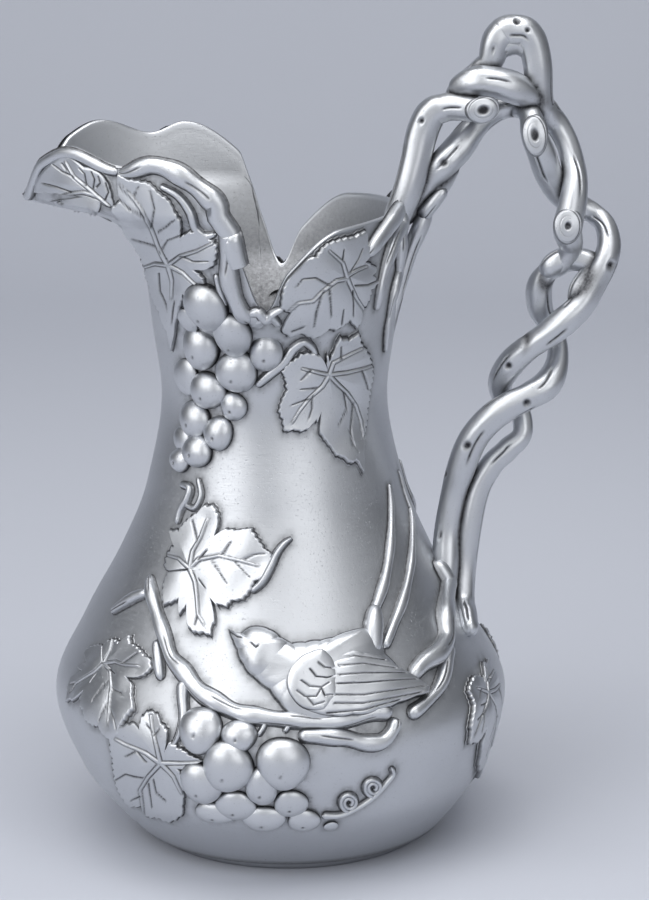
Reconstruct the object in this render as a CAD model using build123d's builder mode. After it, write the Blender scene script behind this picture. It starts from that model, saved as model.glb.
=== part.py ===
# Water pitcher in cast metal, with a twisted vine handle and grapevine relief.
# Millimetres.  +Z is up, +X points to the handle, -X to the spout and -Y to the near side.
# The origin is the middle of the foot, on the surface that the pitcher stands on.

import os
from math import atan2, cos, degrees, hypot, pi, radians, sin

from build123d import *

# Foot
foot_radius = 56.5
foot_height = 4.0
root_radius = 62.0
disc_radius = 49.0
disc_clearance = 0.1
floor_thickness = 4.0

# Bowl, waist and neck: heights of the stations and the outer radius at each
heel_height = 15.0
heel_radius = 71.5
flank_height = 31.0
flank_radius = 82.5
bulge_height = 58.0
bulge_radius = 90.5
shoulder_height = 88.0
shoulder_radius = 77.0
waist_height = 115.0
waist_radius = 62.0
throat_height = 142.0
throat_radius = 51.0
neck_height = 178.0
neck_radius = 44.5
collar_height = 203.0
collar_radius = 47.5
wall = 3.0

# The bowl leans a little from the foot towards the spout
lean = 5.0
lean_height = 120.0

# Mouth: an egg-shaped opening, drawn out into the spout
mouth_height = 226.0
mouth_half_width = 62.0
mouth_back = 44.0
mouth_front = 55.0
mouth_middle = -8.0
bend_height = 243.0
bend_front = 64.0
under_height = 250.0
under_front = 74.0
lip_height = 256.0
lip_front = 101.0
lip_half_width = 66.0
brim_height = 292.0
brim_front = 108.0

# Rim, seen from the side, from the spout tip to the handle
tip_height = 257.0
crest_height = 279.0
crest_x = -78.0
saddle_height = 273.0
saddle_x = -58.0
lobe_height = 277.0
lobe_x = -45.0
notch_height = 219.0
notch_x = -5.0
collar_rim_height = 250.0
collar_rim_x = 24.0

# Relief
leaf_thickness = 2.2
seat_gap = 0.5
grape_rise = 0.95
grape_seat = 0.2

# Handle
inner_radius = 5.0
knot_radius = 5.6
tail_radius = 4.7
arched_radius = 5.0
crown_radius = 6.4
lower_radius = 5.9
cut_radius = 5.3
bridge_radius = 5.9

body_sides = 36
vine_sides = 10
oval_points = 8
overshoot = 40.0


def smooth_through(stations, z):
    """Height through the stations by cubic pieces whose slopes never overshoot."""
    steps = list(zip(stations[:-1], stations[1:]))
    rates = [(b[1] - a[1]) / (b[0] - a[0]) for a, b in steps]
    slopes = [rates[0]]
    for before, after in zip(rates[:-1], rates[1:]):
        same = before * after > 0
        slopes.append(2 * before * after / (before + after) if same else 0.0)
    slopes.append(rates[-1])
    for (a, b), m0, m1 in zip(steps, slopes[:-1], slopes[1:]):
        if z <= b[0] or b is stations[-1]:
            h = b[0] - a[0]
            t = (z - a[0]) / h
            return (
                a[1] * (1 + 2 * t) * (1 - t) ** 2
                + h * m0 * t * (1 - t) ** 2
                + b[1] * t * t * (3 - 2 * t)
                - h * m1 * t * t * (1 - t)
            )


bowl_stations = [
    (foot_height, root_radius),
    (heel_height, heel_radius),
    (flank_height, flank_radius),
    (bulge_height, bulge_radius),
    (shoulder_height, shoulder_radius),
    (waist_height, waist_radius),
    (throat_height, throat_radius),
    (neck_height, neck_radius),
    (collar_height, collar_radius),
]


def lean_at(z):
    """The centre line moves towards the spout, and is steady above lean_height."""
    t = min(max(z / lean_height, 0.0), 1.0)
    return -lean * t * (2 - t)


def girth(z):
    """Middle, back reach, front reach and half width of the outer surface at one height."""
    middle = lean_at(collar_height)
    radius = bowl_stations[-1][1]
    if z <= collar_height:
        r = smooth_through(bowl_stations, z)
        return lean_at(z), r, r, r
    at_collar = (collar_height, radius)
    top = brim_height + overshoot
    width = [
        at_collar,
        (mouth_height, mouth_half_width),
        (lip_height, lip_half_width),
        (top, lip_half_width + 1),
    ]
    centre = [(collar_height, middle), (mouth_height, mouth_middle), (top, mouth_middle - 1)]
    back = [(collar_height, middle + radius), (mouth_height, mouth_back), (top, mouth_back + 2)]
    front = [
        (collar_height, radius - middle),
        (mouth_height, mouth_front),
        (bend_height, bend_front),
        (under_height, under_front),
        (lip_height, lip_front),
        (brim_height, brim_front),
        (top, brim_front + 5),
    ]
    x = smooth_through(centre, z)
    return x, smooth_through(back, z) - x, smooth_through(front, z) + x, smooth_through(width, z)


def on_section(z, turn, grow=0.0):
    """Point of the outer surface at a height; turn is 0 at the handle and 90 on the near side."""
    x, back, front, width = girth(z)
    reach = back if cos(radians(turn)) > 0 else front
    return Vector(
        x + (reach + grow) * cos(radians(turn)),
        -(width + grow) * sin(radians(turn)),
        z,
    )


def on_side(x, z):
    """Point of the near outer surface at a place in the side view."""
    middle, back, front, width = girth(z)
    reach = back if x > middle else front
    share = max(min((x - middle) / reach, 0.98), -0.98)
    return Vector(middle + share * reach, -width * (1 - share * share) ** 0.5, z)


def outward(point):
    """Unit normal of the near outer surface, from two short steps over it."""
    step = 0.5
    middle, back, front, width = girth(point.Z)
    reach = back if point.X > middle else front
    turn = degrees(atan2(-point.Y / width, (point.X - middle) / reach))
    along = on_section(point.Z, turn + step) - on_section(point.Z, turn - step)
    rise = on_section(point.Z + step, turn) - on_section(point.Z - step, turn)
    return rise.cross(along).normalized()


section_heights = [
    foot_height,
    heel_height,
    flank_height,
    (flank_height + bulge_height) / 2,
    bulge_height,
    (3 * bulge_height + shoulder_height) / 4,
    (bulge_height + shoulder_height) / 2,
    shoulder_height,
    (shoulder_height + waist_height) / 2,
    waist_height,
    (waist_height + throat_height) / 2,
    throat_height,
    (throat_height + neck_height) / 2,
    neck_height,
    collar_height,
    (collar_height + mouth_height) / 2,
    mouth_height,
    (mouth_height + bend_height) / 2,
    bend_height,
    under_height,
    lip_height,
    (lip_height + brim_height) / 2,
    brim_height,
]


def skin(grow, bottom=foot_height):
    """Solid inside the outer surface, moved out by grow, from bottom to above the rim."""
    heights = [bottom] + [z for z in section_heights if z > bottom + 3]
    with BuildPart() as solid:
        for z in heights:
            with BuildSketch(Plane.XY.offset(z)):
                with BuildLine():
                    places = [on_section(z, 360 * i / body_sides, grow) for i in range(body_sides)]
                    Polyline([(p.X, p.Y) for p in places], close=True)
                make_face()
        loft(ruled=True)
    return solid.part


outer_solid = skin(0.0)
inner_solid = skin(-wall, foot_height + floor_thickness)

# What lies above the rim, as a block whose underside has the rim's outline from the side
rim_top = brim_height + overshoot
half_depth = lip_half_width + overshoot
with BuildPart() as above_rim:
    with BuildSketch(Plane.XZ.offset(-half_depth)):
        with BuildLine():
            rim_line = Spline(
                (-brim_front - overshoot, tip_height - 2),
                (-lip_front + 1, tip_height + 1),
                (crest_x - 11, crest_height - 5),
                (crest_x, crest_height),
                (saddle_x, saddle_height),
                (lobe_x, lobe_height),
                (lobe_x + 22, lobe_height - 12),
                (notch_x - 8, notch_height + 18),
                (notch_x, notch_height),
                (notch_x + 9, notch_height + 15),
                (collar_rim_x, collar_rim_height - 1),
                (mouth_back + overshoot, collar_rim_height + 3),
            )
            Polyline(
                rim_line @ 1,
                (mouth_back + overshoot, rim_top),
                (-brim_front - overshoot, rim_top),
                rim_line @ 0,
            )
        make_face()
    extrude(amount=2 * half_depth)

# Body: one thin casting, open at the rim and bored through at the floor for the base disc
with BuildPart() as body_shell:
    add(outer_solid)
    add(inner_solid, mode=Mode.SUBTRACT)
    add(above_rim.part, mode=Mode.SUBTRACT)
    with Locations((0, 0, foot_height)):
        Cylinder(
            disc_radius + disc_clearance,
            floor_thickness + 2,
            align=(Align.CENTER, Align.CENTER, Align.MIN),
            mode=Mode.SUBTRACT,
        )

# Base disc: closes the floor and stands level with the foot ring
with BuildPart() as base_disc:
    Cylinder(
        disc_radius,
        foot_height + floor_thickness,
        align=(Align.CENTER, Align.CENTER, Align.MIN),
    )

# Foot ring: soldered under the body, round the disc
with BuildPart() as foot_ring:
    with BuildSketch(Plane.XZ):
        with BuildLine():
            Polyline(
                (disc_radius + disc_clearance, 0),
                (foot_radius, 0),
                (foot_radius + 1, foot_height),
                (disc_radius + disc_clearance, foot_height),
                close=True,
            )
        make_face()
    revolve(axis=Axis.Z)


def strand(places, rings, sides_turn=0.0):
    """Vine through places (x, y, z, radius): round rings on a smooth line, joined by straight lines."""
    path = Spline([place[:3] for place in places])
    marks = [path.param_at_point(place[:3]) for place in places]
    with BuildPart() as vine:
        for i in range(rings + 1):
            t = i / rings
            k = max(n for n, mark in enumerate(marks[:-1]) if t >= mark - 1e-6 or n == 0)
            share = (t - marks[k]) / (marks[k + 1] - marks[k])
            radius = places[k][3] + (places[k + 1][3] - places[k][3]) * share
            with BuildSketch(Plane(path @ t, x_dir=(sides_turn, 1, 0), z_dir=path % t)):
                RegularPolygon(radius, vine_sides)
        loft(ruled=True)
    return vine.part


# Handle: two vines that cross in front of and behind each other, with open eyes between them.
# The inner vine rises from the neck, and the arched vine goes over the top of the handle.
inner_vine_places = [
    (42, 5, 236, 5.5),
    (52, 2, 255, inner_radius),
    (63.5, 0, 269.5, inner_radius),
    (75.5, 3, 281.5, inner_radius),
    (84, 6, 287.5, inner_radius),
    (93, 3, 289, inner_radius),
    (96.5, -4, 282, 5.4),
    (96, -6, 275, knot_radius),
    (98, -4, 267, inner_radius),
    (103, 2, 258.5, inner_radius),
    (110, 6, 252.5, inner_radius),
    (118.5, 5, 247.5, inner_radius),
    (124.5, 1, 240, inner_radius),
    (125, -1, 232, 5.4),
    (121, -2, 224.5, knot_radius),
    (116, -4, 215, knot_radius),
    (110, -6, 208, knot_radius),
    (101, -6, 202, knot_radius),
    (92, -4, 196.5, knot_radius),
    (87, 0, 187, knot_radius),
    (84.5, 5, 177, inner_radius),
    (87.5, 8, 167.5, inner_radius),
    (88.5, 5, 159, tail_radius),
    (83.5, 2, 150, tail_radius),
    (76.5, 1, 136, tail_radius),
    (72.5, 0, 122, tail_radius),
    (70.5, -4, 109, tail_radius),
    (71.5, -12, 97, tail_radius),
    (73, -20, 87, 4.2),
]
arched_vine_places = [
    (56, 6, 283, 4.2),
    (63, 5, 291, arched_radius),
    (71, 1, 298.5, arched_radius),
    (76, -1, 304, arched_radius),
    (78.5, -1, 310, 5.6),
    (82, 0, 316, crown_radius),
    (87.5, 0, 318, crown_radius),
    (93, 0, 315.5, crown_radius),
    (96.5, 0, 309, 5.6),
    (97.5, 1, 300.5, arched_radius),
    (99, 4, 291, arched_radius),
    (103.5, 6, 283, arched_radius),
    (108.5, 5, 274, arched_radius),
    (111, 0, 264, arched_radius),
    (110.5, -5, 254, 5.6),
    (108.5, -6, 244.5, crown_radius),
    (108, -3, 235.5, 5.8),
    (103.5, 0, 227.5, arched_radius),
    (99, 2, 219.5, arched_radius),
    (98, 5, 210.5, arched_radius),
    (100.5, 6.5, 202, arched_radius),
    (103, 4, 194.5, arched_radius),
    (102.5, 0, 186, arched_radius),
    (98, -4, 179, 5.8),
    (89.5, -6, 173.5, 5.8),
    (81, -5, 167, 5.8),
    (73.5, -2, 158, lower_radius),
    (68.5, -1, 147, lower_radius),
    (66, -3, 134.5, lower_radius),
    (64.5, -8, 121, lower_radius),
    (64, -15, 109, 6.2),
    (64.5, -24, 98, 5.2),
    (65, -33, 87, 4.4),
]
cut_vine_places = [
    (41, -4, 242, cut_radius),
    (45, -6, 252, cut_radius),
    (49, -6, 263, cut_radius),
    (52, -4, 276, cut_radius),
    (56, -3, 285, cut_radius),
    (62, -4, 289, cut_radius),
    (69, -6, 290, cut_radius),
    (76.5, -8, 287, 6.2),
]
bridge_places = [
    (66, -4, 296, 5),
    (73, -6, 298, bridge_radius),
    (82, -5, 298.5, bridge_radius),
    (90, -1, 296, bridge_radius),
    (96, 5, 292, 4.6),
]
cut_vine = strand(cut_vine_places, 14)
inner_vine = strand(inner_vine_places, 48)
arched_vine = strand(arched_vine_places, 54)
bridge_vine = strand(bridge_places, 6)

with BuildPart() as handle_cut_vine:
    add(cut_vine)
    add(outer_solid, mode=Mode.SUBTRACT)
with BuildPart() as handle_inner_vine:
    add(inner_vine)
    add(outer_solid, mode=Mode.SUBTRACT)
    add(cut_vine, mode=Mode.SUBTRACT)
with BuildPart() as handle_arched_vine:
    add(arched_vine)
    add(outer_solid, mode=Mode.SUBTRACT)
    add(cut_vine, mode=Mode.SUBTRACT)
    add(inner_vine, mode=Mode.SUBTRACT)
with BuildPart() as handle_bridge:
    add(bridge_vine)
    add(cut_vine, mode=Mode.SUBTRACT)
    add(inner_vine, mode=Mode.SUBTRACT)
    add(arched_vine, mode=Mode.SUBTRACT)


def solid_through(first, rings, last):
    """Closed solid of flat triangles: a fan from first, strips between the rings, a fan to last."""
    triangles = []
    count = len(rings[0])
    for i in range(count):
        j = (i + 1) % count
        triangles.append((first, rings[0][i], rings[0][j]))
        for low, high in zip(rings[:-1], rings[1:]):
            triangles.append((low[i], high[i], low[j]))
            triangles.append((low[j], high[i], high[j]))
        triangles.append((rings[-1][i], last, rings[-1][j]))
    return Solid(Shell([Face(Wire.make_polygon(corners)) for corners in triangles]))


def raised(point, height):
    """Point above the near outer surface, with the gap in which the relief is seated."""
    return point + outward(point) * (seat_gap + height)


# A vine leaf's reach from its middle, from the tip round one side to the notch at its stalk
leaf_reach = [1.0, 0.76, 0.56, 0.74, 0.92, 0.7, 0.54, 0.62, 0.68, 0.5, 0.24]


def vine_leaf(turn, z, length, tilt):
    """Five-lobed leaf on the surface: its lobes are folded up along the middle of each."""
    reaches = leaf_reach + leaf_reach[-2:0:-1]
    radius = hypot(on_section(z, turn).X, on_section(z, turn).Y)

    def ring(share, height):
        points = []
        for i, reach in enumerate(reaches):
            angle = radians(90 + tilt + 360 * i / len(reaches))
            across = length * share * reach * cos(angle)
            up = length * share * reach * sin(angle)
            place = on_section(z + up, turn - degrees(across / radius))
            points.append(raised(place, height * (0.5 + 0.6 * reach)))
        return points

    middle = on_section(z, turn)
    rings = [ring(share, 0) for share in (0.35, 0.7, 1)]
    rings += [ring(1, 0.7 * leaf_thickness), ring(0.6, 1.2 * leaf_thickness)]
    return solid_through(raised(middle, 0), rings, raised(middle, 0.8 * leaf_thickness))


def relief_run(places, spans):
    """Half-round strip along the surface through places (x, z, half width, height)."""
    path = Spline([(x, 0, z) for x, z, half_width, height in places])
    marks = [path.param_at_point((place[0], 0, place[1])) for place in places]
    middles = []
    sizes = []
    for i in range(spans + 1):
        t = i / spans
        k = max(n for n, mark in enumerate(marks[:-1]) if t >= mark - 1e-6 or n == 0)
        share = (t - marks[k]) / (marks[k + 1] - marks[k])
        before, after = places[k], places[k + 1]
        middles.append(on_side((path @ t).X, (path @ t).Z))
        sizes.append([before[n] + (after[n] - before[n]) * share for n in (2, 3)])
    rings = []
    for i, (middle, (half_width, height)) in enumerate(zip(middles, sizes)):
        ahead = middles[min(i + 1, spans)] - middles[max(i - 1, 0)]
        normal = outward(middle)
        across = normal.cross(ahead).normalized()
        shape = [(-1, 0), (-0.75, 0.75), (0, 1), (0.75, 0.75), (1, 0)]
        rings.append(
            [raised(middle, rise * height) + across * side * half_width for side, rise in shape]
        )
    ends = [raised(middles[n], 0.4 * sizes[n][1]) for n in (0, -1)]
    return solid_through(ends[0], rings, ends[1])


def grapes(places):
    """Round berries at places (x, z, radius), each no larger than its neighbours leave room for."""
    middles = [on_side(x, z) for x, z, radius in places]
    berries = []
    for i, middle in enumerate(middles):
        nearest = min((middle - other).length for n, other in enumerate(middles) if n != i)
        radius = min(places[i][2], nearest / 2 - seat_gap)
        normal = outward(middle)
        side = normal.cross(Vector(0, 0, 1)).normalized()
        up = side.cross(normal)

        def ring(share, height):
            base = middle + normal * (height * radius + grape_seat)
            turns = [2 * pi * n / oval_points for n in range(oval_points)]
            return [base + (side * cos(a) + up * sin(a)) * radius * share for a in turns]

        rings = [ring(0.4, 0), ring(0.85, 0.3), ring(1, 0.6), ring(0.72, grape_rise)]
        berries.append(
            solid_through(
                middle + normal * grape_seat, rings, middle + normal * (1.2 * radius + grape_seat)
            )
        )
    return berries


# Relief on the near side, in places seen from the side as (x, z); the far side mirrors it
spiral_turns = 14
tendril_middle = (30, 40)
tendril_coil = [
    (
        tendril_middle[0] + (6.5 - 4 * n / spiral_turns) * cos(radians(200 + 38 * n)),
        tendril_middle[1] + (6.5 - 4 * n / spiral_turns) * sin(radians(200 + 38 * n)),
        0.8,
        1.4,
    )
    for n in range(spiral_turns)
]
relief = {
    "spout_leaf": [vine_leaf(146, 261, 15, 20)],
    "throat_leaf": [vine_leaf(116, 248, 15, -20)],
    "collar_leaf": [vine_leaf(58, 233, 16, 0)],
    "neck_leaf": [vine_leaf(54, 190, 25, 180)],
    "bowl_leaf": [vine_leaf(122, 127, 27, 200)],
    "side_leaf": [vine_leaf(157, 74, 25, 150)],
    "low_leaf": [vine_leaf(130, 43, 22, 160)],
    "heel_leaf": [vine_leaf(40, 47, 24, 180)],
    "neck_grapes": grapes(
        [
            (-24, 223, 7.5),
            (-31, 203, 7.5),
            (-18, 209, 7),
            (-5, 202, 6.5),
            (-16, 194, 7.5),
            (-37, 190, 6),
            (-27, 185, 7),
            (-15, 181, 6.5),
            (-35, 174, 6),
            (-25, 170, 6.5),
            (-32, 161, 6),
        ]
    ),
    "bowl_grapes": grapes(
        [
            (-28, 65, 7),
            (-15, 64, 6.5),
            (-17, 52, 8.5),
            (2, 55, 9),
            (-30, 46, 7),
            (-6, 44, 8),
            (-17, 36, 7.5),
            (5, 37, 7.5),
            (-6, 30, 7),
            (10, 27, 6.5),
            (-24, 27, 6),
        ]
    ),
    "branch": [
        relief_run(
            [
                (-50, 96, 2.4, 3),
                (-41, 86, 3.4, 4.2),
                (-32, 79, 3.4, 4.4),
                (-12, 75, 3.2, 4.2),
                (8, 72, 3.4, 4.4),
                (27, 68, 3.6, 4.6),
                (42, 71, 4, 5),
            ],
            10,
        ),
        relief_run([(12, 64, 1.6, 2), (24, 60, 2, 2.6), (36, 58, 2.2, 2.8), (44, 62, 1.6, 2)], 5),
    ],
    "bird": [
        relief_run(
            [
                (-19, 99, 0.5, 1),
                (-13, 97, 4.5, 4),
                (-5, 95, 5, 5.5),
                (3, 91, 7, 6.5),
                (15, 87, 9, 7.5),
                (28, 84, 8.5, 6.5),
                (40, 81, 6, 4.5),
                (54, 77, 1.6, 2),
            ],
            11,
        )
    ],
    "bird_tail": [
        relief_run(
            [
                (26, 100, 5, 3.5),
                (34, 108, 5, 3.2),
                (40, 121, 4.4, 2.6),
                (42, 135, 3.6, 2.2),
                (39, 150, 2.2, 1.6),
            ],
            8,
        )
    ],
    "rim_vine": [
        relief_run(
            [
                (-48, 270, 3, 3.5),
                (-36, 265, 3.6, 4.2),
                (-25, 258, 3.6, 4.2),
                (-18, 249, 3.6, 4.2),
                (-14, 238, 3.4, 4),
                (-11, 228, 2.6, 3),
            ],
            9,
        )
    ],
    "tendril": [relief_run(tendril_coil, 3 * spiral_turns - 3)],
    "vine_root": [
        relief_run(
            [(66, 78, 3.6, 4.4), (62, 73, 3.8, 4.4), (56, 69, 3.6, 4), (50, 66, 2.6, 3)], 5
        )
    ],
}

pieces = {
    "body_shell": body_shell.part,
    "base_disc": base_disc.part,
    "foot_ring": foot_ring.part,
    "handle_cut_vine": handle_cut_vine.part,
    "handle_inner_vine": handle_inner_vine.part,
    "handle_arched_vine": handle_arched_vine.part,
    "handle_bridge": handle_bridge.part,
}
for name, solids in relief.items():
    with BuildPart() as near:
        add(solids)
    with BuildPart() as far:
        add(near.part)
        mirror(about=Plane.XZ, mode=Mode.REPLACE)
    pieces[name + "_near"] = near.part
    pieces[name + "_far"] = far.part

os.makedirs("parts", exist_ok=True)
for name, part in pieces.items():
    part.label = name
    export_step(part, f"parts/{name}.step")
    print(name, len(part.solids()), round(part.volume))
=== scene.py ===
# %% [markdown]
# # A cast metal water pitcher with a vine handle
# This lesson dresses a pitcher that stands ready as plain solids. The real one is poured in
# sand from a light grey alloy, polished by hand, and toned dark in its hollows. Its grapes,
# leaves and bird are raised from the wall, and two vines twist into the handle.
# We load the solids first.

# %% Load the frame
import bpy
import numpy as np
from mathutils import Matrix


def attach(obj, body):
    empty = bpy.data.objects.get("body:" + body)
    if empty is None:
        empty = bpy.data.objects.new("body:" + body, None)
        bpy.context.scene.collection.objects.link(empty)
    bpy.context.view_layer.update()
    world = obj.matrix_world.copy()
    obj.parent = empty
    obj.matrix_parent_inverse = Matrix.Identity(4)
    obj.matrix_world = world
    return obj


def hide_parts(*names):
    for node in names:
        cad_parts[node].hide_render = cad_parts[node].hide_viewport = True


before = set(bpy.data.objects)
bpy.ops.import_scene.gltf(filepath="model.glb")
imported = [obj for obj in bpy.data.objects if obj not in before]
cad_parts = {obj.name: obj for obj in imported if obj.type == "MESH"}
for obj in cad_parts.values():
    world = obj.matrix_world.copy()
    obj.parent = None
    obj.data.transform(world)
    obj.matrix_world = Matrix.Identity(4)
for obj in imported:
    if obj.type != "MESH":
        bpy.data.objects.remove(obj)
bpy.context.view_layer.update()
print("nodes in the frame:", len(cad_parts))

# %% [markdown]
# ## The wall as a formula
# A potter would describe this body by a few girths at a few heights, with smooth skin
# between them. We do the same: each girth is a number in millimetres at a height, and a
# cubic curve joins them without overshoot. The mouth has four such curves, for its middle,
# back, front and half width. Every ornament is then placed on this one surface.

# %% Heights and girths of the body
FOOT_HEIGHT = 4.0
WALL = 3.0
FLOOR_TOP = 8.0
COLLAR_HEIGHT = 203.0
LEAN, LEAN_HEIGHT = 5.0, 120.0
GIRTHS = [(4, 62), (15, 71.5), (31, 82.5), (58, 90.5), (88, 77), (115, 62), (142, 51),
          (178, 44.5), (203, 47.5)]
MOUTH_WIDTH = [(203, 47.5), (226, 62), (256, 66), (332, 67)]
MOUTH_MIDDLE = [(203, -5), (226, -8), (332, -9)]
MOUTH_BACK = [(203, 42.5), (226, 44), (332, 46)]
MOUTH_FRONT = [(203, 52.5), (226, 55), (243, 64), (250, 74), (256, 101), (292, 108), (332, 113)]
RIM = [(-152, 255), (-100, 258), (-89, 274), (-78, 279), (-58, 273), (-45, 277), (-23, 265), (-13, 237),
       (-5, 219), (4, 234), (24, 249), (84, 253)]


def smooth_through(stations, at):
    """Cubic pieces through the stations; each slope is the harmonic mean of its two sides."""
    xs, ys = np.array(stations, float).T
    rate = np.diff(ys) / np.diff(xs)
    product = rate[:-1] * rate[1:]
    total = rate[:-1] + rate[1:]
    inner = np.where(product > 0, 2 * product / np.where(total == 0, 1, total), 0)
    slope = np.concatenate([rate[:1], inner, rate[-1:]])
    at = np.clip(at, xs[0], xs[-1])
    i = np.clip(np.searchsorted(xs, at) - 1, 0, len(xs) - 2)
    h = xs[i + 1] - xs[i]
    t = (at - xs[i]) / h
    low = ys[i] * (1 + 2 * t) * (1 - t) ** 2 + h * slope[i] * t * (1 - t) ** 2
    return low + ys[i + 1] * t * t * (3 - 2 * t) - h * slope[i + 1] * t * t * (1 - t)


def girth(z):
    """Middle, back reach, front reach and half width at height z, as arrays."""
    z = np.asarray(z, float)
    t = np.clip(z / LEAN_HEIGHT, 0, 1)
    lean = -LEAN * t * (2 - t)
    r = smooth_through(GIRTHS, z)
    low = z <= COLLAR_HEIGHT
    x = np.where(low, lean, smooth_through(MOUTH_MIDDLE, z))
    back = np.where(low, r, smooth_through(MOUTH_BACK, z) - x)
    front = np.where(low, r, smooth_through(MOUTH_FRONT, z) + x)
    return x, back, front, np.where(low, r, smooth_through(MOUTH_WIDTH, z))


def on_wall(turn, z, grow=0.0):
    """Middle plus reach times (cos, -sin) of the turn; turn is 0 at the handle, 90 on the near side."""
    x, back, front, width = girth(z)
    c, s = np.cos(np.radians(turn)), np.sin(np.radians(turn))
    reach = np.where(c > 0, back, front)
    return np.stack(np.broadcast_arrays(x + (reach + grow) * c, -(width + grow) * s, z * 1.0), -1)


def unit(v):
    """Each vector over its length."""
    return v / np.maximum(np.linalg.norm(v, axis=-1, keepdims=True), 1e-9)


def wall_normal(turn, z):
    """Cross product of a short step up the wall and a short step round it."""
    up = on_wall(turn, z + 0.5) - on_wall(turn, z - 0.5)
    round_ = on_wall(turn + 0.5, z) - on_wall(turn - 0.5, z)
    return unit(np.cross(up, round_))


def turn_at(x, z):
    """Turn of the near wall's point that has this x at this height, by the arc cosine."""
    middle, back, front, width = girth(z)
    share = (x - middle) / np.where(x > middle, back, front)
    return np.degrees(np.arccos(np.clip(share, -0.985, 0.985)))


print("bowl is", 2 * float(smooth_through(GIRTHS, 58)), "mm across")

# %% [markdown]
# ## From arrays to meshes
# A grid of points becomes a mesh through one helper. It takes rows and columns, joins them
# with four-sided faces and stores a *patina and shade* number on each vertex: 0 is polished
# metal and 1 is fully dark. The number holds the dark tone left in hollows and also painted
# shade in corners and inside the cup. The material reads that number later.

# %% Mesh helpers
MM = 0.001
pieces = {}


def grid_faces(rows, columns, closed=False):
    """Corner numbers of the faces between each row and the next; closed joins the last column."""
    r = np.arange(rows - 1)[:, None]
    c = np.arange(columns if closed else columns - 1)[None, :]
    n = (c + 1) % columns
    low, high = r * columns, (r + 1) * columns
    return np.stack([low + c, low + n, high + n, high + c], -1).reshape(-1, 4)


def fan(ring, pole, turned=False, closed=True):
    """Three-sided faces from a ring of corners to a pole, which each face names twice."""
    here, there = (ring, np.roll(ring, -1)) if closed else (ring[:-1], ring[1:])
    if turned:
        here, there = there, here
    poles = np.full(len(here), pole)
    return np.stack([here, there, poles, poles], -1)


def new_object(name, points, faces, material):
    """A smooth mesh at the origin, from points in metres."""
    mesh = bpy.data.meshes.new(name)
    mesh.from_pydata(points.reshape(-1, 3).tolist(), [], faces.tolist())
    mesh.polygons.foreach_set("use_smooth", np.ones(len(mesh.polygons), bool))
    mesh.materials.append(material)
    made = bpy.data.objects.new(name, mesh)
    bpy.context.collection.objects.link(made)
    return made


def put_mesh(name, points, faces, patina_and_shade, node, material):
    """One object, from points in millimetres, that rides on the body and replaces its solid."""
    piece = new_object(name, points * MM, faces, material)
    layer = piece.data.attributes.new("patina_and_shade", "FLOAT", "POINT")
    layer.data.foreach_set("value", np.clip(patina_and_shade, 0, 1).astype(np.float32).ravel())
    piece.data.update()
    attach(piece, "root")
    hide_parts(*node)
    pieces[name] = piece


def gather(patches):
    """Join patches (points, faces, patina) into one, counting the corners on."""
    start = 0
    points, faces, patina_and_shade = [], [], []
    for p, f, a in patches:
        points.append(p.reshape(-1, 3))
        faces.append(f + start)
        patina_and_shade.append(np.ravel(a))
        start += len(points[-1])
    return np.concatenate(points), np.concatenate(faces), np.concatenate(patina_and_shade)


def both_sides(name, patches, far_patches=None):
    """The near piece, and its mirror image on the far side with its faces turned round."""
    for side, sign, group in (("near", 1, patches), ("far", -1, far_patches or patches)):
        solid = f"{name}_{side}"
        points, faces, patina_and_shade = gather(group)
        put_mesh(solid + "_cast", points * [1, sign, 1], faces[:, ::sign], patina_and_shade, [solid],
                 relief_metal)
    print(name, len(faces) * 2, "triangles a side")


# %% [markdown]
# ## Shader maths
# Node trees are easier to read as sums. This small class wraps a socket, so that
# `1 - mask * 0.5` adds the Math nodes by itself. Any other node comes from `node`, which
# takes its type, its settings and the values or links of its sockets.

# %% A socket that can be added and multiplied


class Wire:
    """One output socket of a node tree, which sums and products pass on."""

    def __init__(self, tree, socket):
        self.tree = tree
        self.socket = socket

    def maths(self, operation, a, b):
        return node(self.tree, "ShaderNodeMath", {"operation": operation}, {0: a, 1: b})

    def __add__(self, other):
        return self.maths("ADD", self, other)

    def __radd__(self, other):
        return self.maths("ADD", other, self)

    def __sub__(self, other):
        return self.maths("SUBTRACT", self, other)

    def __rsub__(self, other):
        return self.maths("SUBTRACT", other, self)

    def __mul__(self, other):
        return self.maths("MULTIPLY", self, other)

    def __rmul__(self, other):
        return self.maths("MULTIPLY", other, self)

    def clamp(self):
        return node(self.tree, "ShaderNodeClamp", {}, {0: self})

    def between(self, low, high):
        """0 below low, 1 above high, and straight between."""
        return node(self.tree, "ShaderNodeMapRange", {}, {0: self, 1: low, 2: high})


def node(tree, kind, settings, inputs, output=0):
    """Add a node, set its settings first, then its sockets, and wrap one output."""
    made = tree.nodes.new(kind)
    for key, value in settings.items():
        setattr(made, key, value)
    for key, value in inputs.items():
        if isinstance(value, Wire):
            tree.links.new(value.socket, made.inputs[key])
        else:
            made.inputs[key].default_value = value
    return Wire(tree, made.outputs[output])


# %% [markdown]
# ## The metal
# The alloy is a cool light grey with a satin polish. Under the hand it is not even: the
# sand leaves pits, the polishing wheel leaves fine scratches and cloudy patches, and the
# dark toning stays in hollows. So the colour mixes polished metal and a dark tone by the
# stored number, which holds that patina and also painted shade in corners and inside the
# cup, broken up by noise, and the roughness and the bump follow the same clouds.

# %% Metal material


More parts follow.
